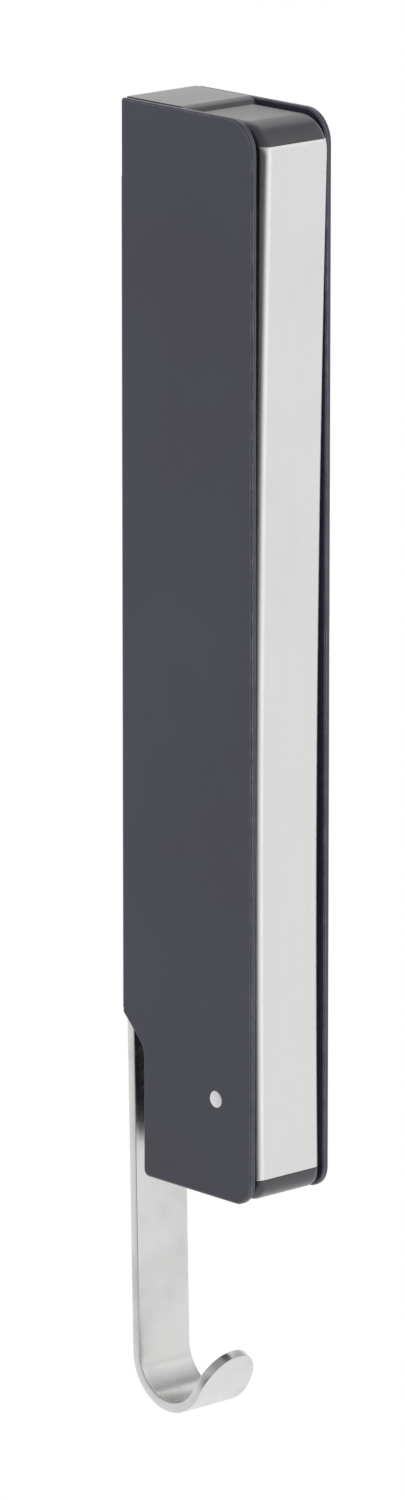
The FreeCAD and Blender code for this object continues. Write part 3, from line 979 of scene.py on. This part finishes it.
@dataclass
class HookBar:
    """The flat bar behind the channel that ends in the J hook.

    A strip screw's hole narrows from its head's radius to its own over strip_cone of the thickness.
    """

    extent: Extent
    thickness: float = 3.0 * MM
    knee: float = 124.05 * MM
    lean: float = math.radians(1.3)
    bend_start: float = 231.35 * MM
    inner_radius: float = 12.6 * MM
    rise: float = math.radians(61.0)
    tip_length: float = 13.1 * MM
    tip_radius: float = 9.5 * MM
    tip_reach: float = 12.0 * MM
    tip_steps: int = 20
    top_radius: float = 3.0 * MM
    edge: float = 0.25 * MM
    wall_screws: tuple[float, float] = (-85.0 * MM, 85.0 * MM)
    wall_hole: float = 2.6 * MM
    wall_room: float = 6.0 * MM
    strip_screws: tuple[float, float] = (-110.0 * MM, 110.0 * MM)
    strip_hole: float = 1.55 * MM
    strip_head: float = 2.95 * MM
    strip_cone: float = 0.467
    strip_room: float = 4.0 * MM
    plain_step: float = 9.0 * MM
    fine_step: float = 1.0 * MM
    turn_step: float = 0.7 * MM
    tip_step: float = 0.9 * MM
    side_lines: int = 3

    def lengths(self) -> tuple[float, float, float, float]:
        """How far down the bar its knee, its bend, the bend's end and its tip are.

        Returns:
            The four distances from the bar's top, along its face on the wall.
        """
        knee = self.extent.high.z + self.knee
        bend = knee + (self.bend_start - self.knee) / math.cos(self.lean)
        turn = math.pi / 2 + self.rise - self.lean
        after = bend + turn * (self.inner_radius + self.thickness / 2)
        return knee, bend, after, after + self.tip_length

    def place(self, across: np.ndarray, along: np.ndarray, depth: np.ndarray) -> np.ndarray:
        """Lays the flat bar along its bent path.

        The path is four runs: straight down, straight down with a slight lean to the front, a turn
        about the hook's centre, and the straight tip. In the turn the angle grows evenly with the
        distance, and a point stands at the outer radius less its depth.

        Args:
            across: distance from the middle line.
            along: distance down the path.
            depth: distance from the face on the wall.

        Returns:
            The points.
        """
        knee, bend, after, _ = self.lengths()
        lean, turned = self.lean, math.pi / 2 + self.rise
        outer = self.inner_radius + self.thickness
        angle = np.where(along < knee, 0.0, np.where(along < bend, lean, 0.0))
        share = np.clip((along - bend) / (after - bend), 0.0, 1.0)
        angle = np.where(along >= bend, lean + share * (turned - lean), angle)
        sine, cosine = np.sin(angle), np.cos(angle)
        leaning = np.clip(along, knee, bend) - knee
        out = leaning * math.sin(lean)
        down = np.minimum(along, knee) + leaning * math.cos(lean)
        centre_out = (bend - knee) * math.sin(lean) + outer * math.cos(lean)
        centre_down = knee + (bend - knee) * math.cos(lean) - outer * math.sin(lean)
        past = np.maximum(along - after, 0.0)
        in_turn = along >= bend
        out = np.where(in_turn, centre_out - outer * cosine + past * math.sin(turned), out)
        down = np.where(in_turn, centre_down + outer * sine + past * math.cos(turned), down)
        return np.stack([across, -(out + depth * cosine),
                         self.extent.high.z - (down - depth * sine)], axis=-1)

    def rows(self, screws: list[tuple[float, float]]) -> np.ndarray:
        """Stations between the rounded ends, close together at the top, by each screw and in the hook.

        Args:
            screws: (distance down the bar, room round it) of each screw, from the top.

        Returns:
            The stations.
        """
        knee, bend, after, end = self.lengths()
        first, room = screws[0]
        runs = [(self.top_radius, first + room, self.fine_step)]
        for mark, room in screws[1:]:
            runs += [(runs[-1][1], mark - room, self.plain_step),
                     (mark - room, mark + room, self.fine_step)]
        runs += [(runs[-1][1], knee, self.plain_step), (knee, bend, self.plain_step),
                 (bend, after, self.turn_step), (after, end - self.tip_reach, self.tip_step)]
        return stations(*runs)

    def build(self, wardrobe: Wardrobe) -> None:
        """Makes the bar with its rounded top, its tongue-shaped tip and its holes.

        Args:
            wardrobe: where finishes come from.
        """
        half, top = self.extent.size.x / 2, self.extent.high.z
        low_wall, high_wall = (top - height for height in self.wall_screws)
        low_strip, high_strip = (top - height for height in self.strip_screws)
        middle = self.rows([(high_strip, self.strip_room), (high_wall, self.wall_room),
                            (low_wall, self.wall_room), (low_strip, self.strip_room)])
        along, widths = flat_outline(corner(self.top_radius, half), middle,
                                     corner(self.tip_radius, half, self.tip_steps, self.tip_reach),
                                     self.lengths()[3], half)
        full, room = half - self.edge, self.wall_room
        side = (full - room) / self.side_lines
        lines = stations((-full, -room, side), (-room, room, self.fine_step), (room, full, side))
        bore = ((0.0, self.wall_hole), (1.0, self.wall_hole))
        countersink = ((0.0, self.strip_head), (self.strip_cone, self.strip_hole),
                       (1.0, self.strip_hole))
        holes = [Hole(mark, bore, room) for mark in (low_wall, high_wall)]
        holes += [Hole(mark, countersink, self.strip_room) for mark in (low_strip, high_strip)]
        sheet = BentSheet(along, widths, self.thickness, self.edge, self.place, lines / full,
                          tuple(holes))
        wardrobe.seat(sheet.build("hook_bar"), Body.WALL_UNIT, Slot.BAR, BAR_STEEL, "hook_strip")


@dataclass
class SheetCover:
    """The brushed sheet bent round the front and sides of the arm."""

    extent: Extent
    pivot: Vector
    thickness: float = 1.0 * MM
    bend_radius: float = 2.8 * MM
    bow_radius: float = 7000.0 * MM
    bow_height: float = -73.45 * MM
    bow_front: float = 59.6 * MM
    round_start: float = 135.75 * MM
    round_radius: float = 10.0 * MM
    edge: float = 0.18 * MM
    corner_radius: float = 0.8 * MM
    pivot_hole: float = 3.95 * MM
    pivot_room: float = 5.6 * MM
    fine_reach: float = 9.0 * MM
    fine_step: float = 1.0 * MM
    foot_step: float = 2.0 * MM
    plain_step: float = 8.0 * MM
    round_reach: float = 8.0 * MM
    round_step: float = 0.6 * MM
    bend_margin: float = 1.0 * MM
    front_lines: int = 5
    bend_lines: int = 16
    side_lines: int = 17

    def front(self, height: np.ndarray) -> np.ndarray:
        """How far out the arm's front stands at a height.

        Below the top round it is the wide arc radius - sqrt(radius^2 - (height - nadir)^2) beyond
        its nearest point. Above it the round falls away from the height where it starts.

        Args:
            height: heights in the frame.

        Returns:
            Distances from the wall.
        """
        bow = self.bow_radius - np.sqrt(self.bow_radius**2 - (height - self.bow_height) ** 2)
        above = np.maximum(height - self.round_start, 0.0)
        fall = self.round_radius - np.sqrt(self.round_radius**2 - above**2)
        return self.bow_front + bow - fall

    def place(self, across: np.ndarray, along: np.ndarray, depth: np.ndarray) -> np.ndarray:
        """Wraps the flat sheet round the arm.

        Across the sheet, the section is a flat front, a quarter turn of the bend's radius and a
        straight side. Depth is measured square to the outer face.

        Args:
            across: distance from the middle line, on the outer face.
            along: height above the sheet's lower edge.
            depth: distance below the outer face.

        Returns:
            The points.
        """
        height = self.extent.low.z + along
        flat = self.extent.size.x / 2 - self.bend_radius
        quarter = self.bend_radius * math.pi / 2
        distance = np.abs(across)
        turn = np.clip((distance - flat) / quarter, 0.0, 1.0) * math.pi / 2
        straight = np.maximum(distance - flat - quarter, 0.0)
        radius = self.bend_radius - depth
        x = np.minimum(distance, flat) + radius * np.sin(turn)
        out = self.front(height) - self.bend_radius + radius * np.cos(turn) - straight
        return np.stack([np.sign(across) * x, -out, height], axis=-1)

    def build(self, wardrobe: Wardrobe) -> None:
        """Makes the sheet with its hole for the pivot on both sides.

        At each height the half width is the flat front, the bend and the side as deep as the arm is
        there, less the round of the corners: radius - sqrt(radius^2 - (radius - distance)^2).

        Args:
            wardrobe: where finishes come from.
        """
        height, radius = self.extent.size.z, self.corner_radius
        level = self.pivot.z - self.extent.low.z
        low, high, top = level - self.fine_reach, level + self.fine_reach, height - self.round_reach
        middle = stations((radius, low, self.foot_step), (low, high, self.fine_step),
                          (high, top, self.plain_step), (top, height - radius, self.round_step))
        end = corner(radius, 0.0)
        along, _ = flat_outline(end, middle, end, height, 0.0)
        ends = np.minimum(along, height - along)
        inset = radius - np.sqrt(np.maximum(radius**2 - np.maximum(radius - ends, 0.0) ** 2, 0.0))
        front = self.extent.size.x / 2 - self.bend_radius
        bent = front + self.bend_radius * math.pi / 2
        side = self.front(self.extent.low.z + along) - self.bend_radius + self.extent.high.y
        full, past = np.max(bent + side), bent + self.bend_margin
        columns = np.concatenate([np.linspace(0.0, front, self.front_lines + 1)[:-1],
                                  np.linspace(front, past, self.bend_lines + 1)[:-1],
                                  np.linspace(past, full, self.side_lines + 1)]) / full
        columns = np.concatenate([-columns[:0:-1], columns])
        reach = bent + self.bow_front - self.bend_radius + self.pivot.y
        wall = ((0.0, self.pivot_hole), (1.0, self.pivot_hole))
        holes = tuple(Hole(level, wall, self.pivot_room, across) for across in (-reach, reach))
        sheet = BentSheet(along, bent + side - inset, self.thickness, self.edge, self.place, columns,
                          holes)
        wardrobe.seat(sheet.build("arm_sheet_cover"), Body.ARM, Slot.COVER, COVER_STEEL, "arm_cover")


@dataclass
class Pivot:
    """The pin, the sleeve in the arm and the two washers, all turned about the pin's axis.

    Each pair of roundings is that of a piece's outer edges and that of its bore.
    """

    pin: Extent
    clearance: float = 0.05 * MM
    pin_rounding: float = 0.22 * MM
    sleeve_roundings: tuple[float, float] = (0.2 * MM, 0.15 * MM)
    washer_roundings: tuple[float, float] = (0.12 * MM, 0.08 * MM)

    def turned(self, node: str, rounding: float, bore_rounding: float = 0.0) -> bpy.types.Object:
        """Makes one piece in the place of its CAD node.

        Args:
            node: the node's name.
            rounding: how far its outer edges are rounded.
            bore_rounding: how far its bore's edges are rounded, 0 on a piece without a bore.

        Returns:
            The new piece.
        """
        extent, middle = Extent.of(node), self.pin.middle
        bore = self.pin.size.z / 2 + self.clearance if bore_rounding else 0.0
        return Turned(Vector((extent.low.x, middle.y, middle.z)), Vector((1, 0, 0)), extent.size.z / 2,
                      extent.size.x, rounding, bore, bore_rounding).build(node + "_turned")

    def build(self, wardrobe: Wardrobe) -> None:
        """Makes the pieces.

        Args:
            wardrobe: where finishes come from.
        """
        steel = TurnedMetal("turned_pin_steel", (0.80, 0.79, 0.80), 0.34,
                            centre=tuple(self.pin.middle))
        wardrobe.seat(self.turned("pivot_pin", self.pin_rounding), Body.WALL_UNIT, Slot.PIN, steel,
                      "pivot_pin")
        wardrobe.seat(self.turned("pivot_sleeve", *self.sleeve_roundings), Body.ARM, Slot.SLEEVE,
                      ACETAL, "pivot_sleeve")
        for node in ("thrust_washer_left", "thrust_washer_right"):
            wardrobe.seat(self.turned(node, *self.washer_roundings), Body.WALL_UNIT, Slot.WASHER,
                          steel, node)


@dataclass
class Catch:
    """The magnet that holds the arm closed, and the screws, all along Y.

    A thread is (the shank's radius, the pitch).
    """

    magnet: Extent
    magnet_rounding: float = 0.3 * MM
    strip_thread: tuple[float, float] = (1.5 * MM, 0.7 * MM)
    strike_thread: tuple[float, float] = (1.25 * MM, 0.6 * MM)

    def build(self, wardrobe: Wardrobe) -> None:
        """Makes the magnet and the screws.

        Args:
            wardrobe: where finishes come from.
        """
        middle = self.magnet.middle
        disc = Turned(Vector((middle.x, self.magnet.high.y, middle.z)), Vector((0, -1, 0)),
                      self.magnet.size.z / 2, self.magnet.size.y, self.magnet_rounding)
        wardrobe.seat(disc.build("catch_magnet_disc"), Body.WALL_UNIT, Slot.MAGNET, NICKEL,
                      "catch_magnet")
        for node in ("strip_screw_lower", "strip_screw_upper"):
            self.screw(wardrobe, node, self.strip_thread, Body.WALL_UNIT)
        self.screw(wardrobe, "strike_screw", self.strike_thread, Body.ARM)

    @staticmethod
    def screw(wardrobe: Wardrobe, node: str, thread: tuple[float, float], body: Body) -> None:
        """Makes one screw in the place of its CAD node.

        Args:
            wardrobe: where finishes come from.
            node: the node's name.
            thread: the shank's radius and the pitch.
            body: the body that it rides on.
        """
        extent = Extent.of(node)
        shank, pitch = thread
        screw = Screw(Vector((extent.middle.x, extent.high.y, extent.middle.z)), Vector((0, -1, 0)),
                      extent.size.z / 2, shank, extent.size.y, pitch)
        wardrobe.seat(screw.build(node + "_threaded"), body, Slot.ZINC, ZINC, node)


@dataclass
class Pads:
    """The rubber pads and the slippery glide pads, as small pillows with round edges.

    Each node's number is the axis that its thickness runs along.
    """

    rubber: tuple[tuple[str, int], ...] = (("bump_pad_left", 1), ("bump_pad_right", 1),
                                           ("stop_pad_left", 2), ("stop_pad_right", 2))
    glides: tuple[tuple[str, int], ...] = (("glide_pad_left", 0), ("glide_pad_right", 0))
    corner_share: float = 0.18
    edge_share: float = 0.3
    rows: int = 10
    lines: int = 9

    def pillow(self, node: str, normal: int) -> bpy.types.Object:
        """A small pad with rounded corners and edges that fills a CAD node's box.

        Args:
            node: the node's name.
            normal: the axis that the pad's thickness runs along.

        Returns:
            The new piece.
        """
        extent = Extent.of(node)
        size, middle = extent.size, extent.middle
        first, second = (axis for axis in range(3) if axis != normal)
        radius = self.corner_share * min(size[first], size[second])
        half, length = size[first] / 2, size[second]
        inner = stations((radius, length - radius, length / self.rows))
        end = corner(radius, half)
        along, widths = flat_outline(end, inner, end, length, half)

        def place(across: np.ndarray, run: np.ndarray, depth: np.ndarray) -> np.ndarray:
            """Puts the flat pad in its box.

            Args:
                across: distance from the box's middle along the first axis.
                run: distance from its low side along the second axis.
                depth: distance from its low side along the thickness.

            Returns:
                The points.
            """
            point = np.zeros((*across.shape, 3))
            point[..., first] = middle[first] + across
            point[..., second] = extent.low[second] + run
            point[..., normal] = extent.low[normal] + depth
            return point

        sheet = BentSheet(along, widths, size[normal], self.edge_share * size[normal], place,
                          np.linspace(-1.0, 1.0, self.lines))
        return sheet.build(node + "_pillow")

    def build(self, wardrobe: Wardrobe) -> None:
        """Makes every pad.

        Args:
            wardrobe: where finishes come from.
        """
        for pads, slot, finish in ((self.rubber, Slot.RUBBER, RUBBER), (self.glides, Slot.SLEEVE, ACETAL)):
            for node, normal in pads:
                wardrobe.seat(self.pillow(node, normal), Body.WALL_UNIT, slot, finish, node)


@dataclass
class CarriedNodes:
    """The CAD nodes whose shape is shown as it is, with better finishes."""

    finishes: dict[str, Finish]

    def build(self, wardrobe: Wardrobe) -> None:
        """Dresses each node.

        Args:
            wardrobe: where finishes come from.
        """
        for node, finish in self.finishes.items():
            wardrobe.dress(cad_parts[node], finish)
            log.info("%s: CAD node in %s", node, finish.name)


# studio


def aimed(name: str, data: bpy.types.ID, at: Vector, towards: Vector) -> bpy.types.Object:
    """Puts a camera or a lamp in the scene.

    Args:
        name: its name.
        data: the camera's or the lamp's data.
        at: where it stands.
        towards: the direction that it looks in.

    Returns:
        The new object.
    """
    made = bpy.data.objects.new(name, data)
    made.location = at
    made.rotation_mode = "QUATERNION"
    made.rotation_quaternion = towards.to_track_quat("-Z", "Y")
    bpy.context.scene.collection.objects.link(made)
    return made


@dataclass(frozen=True)
class Lamp:
    """A soft rectangular lamp that faces the part's middle, offset from it."""

    name: str
    offset: tuple[float, float, float]
    size: tuple[float, float]
    power: float

    def build(self, middle: Vector) -> None:
        """Makes the lamp.

        Args:
            middle: the part's middle.
        """
        data = bpy.data.lights.new(self.name, "AREA")
        data.shape = "RECTANGLE"
        data.size, data.size_y = self.size
        data.energy = self.power
        at = middle + Vector(self.offset)
        aimed(self.name, data, at, middle - at)


@dataclass
class Studio:
    """Camera, lamps, world and floor.

    The room has a low grey screen on its shaded side and a grey ceiling. The screen's edge is a
    range of cosines from that side. Its top and the ceiling's edge are ranges of a ray's height.
    """

    lens: float = 225.9
    sensor: float = 36.0
    clip: tuple[float, float] = (0.05, 200.0)
    camera_at: tuple[float, float, float] = (-1.7935, -1.9974, 0.61045)
    azimuth: float = 42.239
    elevation: float = 13.810
    ambient: float = 0.85
    shaded_side: tuple[float, float, float] = (-0.985, -0.174, 0.0)
    screen: float = 0.08
    screen_edge: tuple[float, float] = (0.52, 0.92)
    screen_top: tuple[float, float] = (0.1, 0.4)
    ceiling: float = 0.4
    ceiling_edge: tuple[float, float] = (0.1, 0.7)
    floor_drop: float = 0.62
    floor_size: float = 3.2
    floor_rings: int = 13
    floor_segments: int = 96
    floor_tones: tuple[float, float] = (0.80, 0.83)
    floor_seen: float = 0.8
    floor_mirrored: float = 0.6
    lamps: tuple[Lamp, ...] = (Lamp("key_softbox", (0.9, -1.7, 2.0), (3.2, 3.2), 12.0),
                               Lamp("top_softbox", (0.9, 0.9, 1.9), (1.8, 1.8), 6.0),
                               Lamp("front_strip", (0.1, -2.2, -0.2), (1.2, 2.2), 2.0))

    def camera(self) -> None:
        """Makes the camera at the photograph's angle."""
        data = bpy.data.cameras.new("camera")
        data.lens = self.lens
        data.sensor_width = self.sensor
        data.clip_start, data.clip_end = self.clip
        azimuth, elevation = math.radians(self.azimuth), math.radians(self.elevation)
        towards = Vector((math.sin(azimuth) * math.cos(elevation),
                          math.cos(azimuth) * math.cos(elevation), -math.sin(elevation)))
        bpy.context.scene.camera = aimed("camera", data, Vector(self.camera_at), towards)

    def world(self) -> None:
        """Makes a plain pale surround: white where it is seen or mirrored, softer as light.

        It darkens with the cosine of the ray's angle from the shaded side, up to the screen's top,
        and with the height of the ray's direction.
        """
        world = bpy.data.worlds.new("surround")
        bpy.context.scene.world = world
        wiring = Wiring.of(world)
        path = wiring.add("LightPath").outputs
        shown = wiring.calc("MAXIMUM", path["Is Camera Ray"],
                            wiring.calc("MAXIMUM", path["Is Glossy Ray"], path["Is Transmission Ray"]))
        level = wiring.spread(shown, self.ambient, 1.0)
        way = wiring.add("TexCoord").outputs["Object"]
        beside = wiring.vector("DOT_PRODUCT", way, self.shaded_side).outputs["Value"]
        rise = wiring.add("SeparateXYZ", {0: way}).outputs["Z"]
        behind = wiring.times(wiring.spread(beside, 0.0, 1.0, *self.screen_edge),
                              wiring.spread(rise, 1.0, 0.0, *self.screen_top))
        screen = wiring.spread(behind, 1.0, self.screen)
        ceiling = wiring.spread(rise, 1.0, self.ceiling, *self.ceiling_edge)
        shade = wiring.calc("MAXIMUM", wiring.times(screen, ceiling), path["Is Camera Ray"])
        light = wiring.add("Background", {"Color": WHITE, "Strength": wiring.times(level, shade)})
        wiring.add("OutputWorld", {"Surface": light.outputs[0]})

    def floor(self) -> None:
        """Makes a pale floor well below the part: a wide disc that keeps the part's shadow.

        Its points are rings whose radius grows by the square of the ring's number.
        """
        rings = (np.linspace(0.0, 1.0, self.floor_rings) ** 2 * self.floor_size / 2)[:, None]
        angles = np.arange(self.floor_segments) * (FULL_TURN / self.floor_segments)
        level = np.full((self.floor_rings, self.floor_segments), CAD_BOX[0].z - self.floor_drop)
        shell = Shell()
        shell.add(np.stack([rings * np.cos(angles), rings * np.sin(angles), level], axis=-1), wrap=True)
        made = shell.piece("floor")
        made.data.flip_normals()
        material = bpy.data.materials.new("pale_floor")
        wiring = Wiring.of(material)
        path = wiring.add("LightPath").outputs
        mottle = wiring.noise(wiring.add("TexCoord").outputs["Object"], scale=6.0, detail=3.0)
        tone = wiring.blend(mottle, *((grey, grey, grey, 1.0) for grey in self.floor_tones))
        shown = wiring.calc("MULTIPLY_ADD", path["Is Camera Ray"], self.floor_seen,
                            wiring.times(path["Is Glossy Ray"], self.floor_mirrored))
        matt = wiring.add("BsdfPrincipled", {"Base Color": tone, "Roughness": 0.9,
                                             "Specular IOR Level": 0.1, "Emission Color": WHITE,
                                             "Emission Strength": shown})
        wiring.add("OutputMaterial", {"Surface": matt.outputs[0]})
        made.data.materials.append(material)

    def build(self) -> None:
        """Sets up the whole studio."""
        bpy.context.scene.view_settings.view_transform = "Standard"
        self.camera()
        self.world()
        self.floor()
        for lamp in self.lamps:
            lamp.build((CAD_BOX[0] + CAD_BOX[1]) / 2)
        log.info("studio: camera, %d soft lamps, pale floor and surround", len(self.lamps))


def main() -> None:
    """Builds the studio and every sub-assembly in order."""
    Studio().build()
    wardrobe = Wardrobe()
    CarriedNodes({"housing_channel": COAT, "block_lower": MOULDED, "block_upper": MOULDED,
                  "arm_core": ARM_MOULDED, "strike_plate": ZINC}).build(wardrobe)
    pin = Extent.of("pivot_pin")
    HookBar(Extent.of("hook_strip")).build(wardrobe)
    SheetCover(Extent.of("arm_cover"), pin.middle).build(wardrobe)
    Pivot(pin).build(wardrobe)
    Catch(Extent.of("catch_magnet")).build(wardrobe)
    Pads().build(wardrobe)


if __name__ == "__main__":
    main()
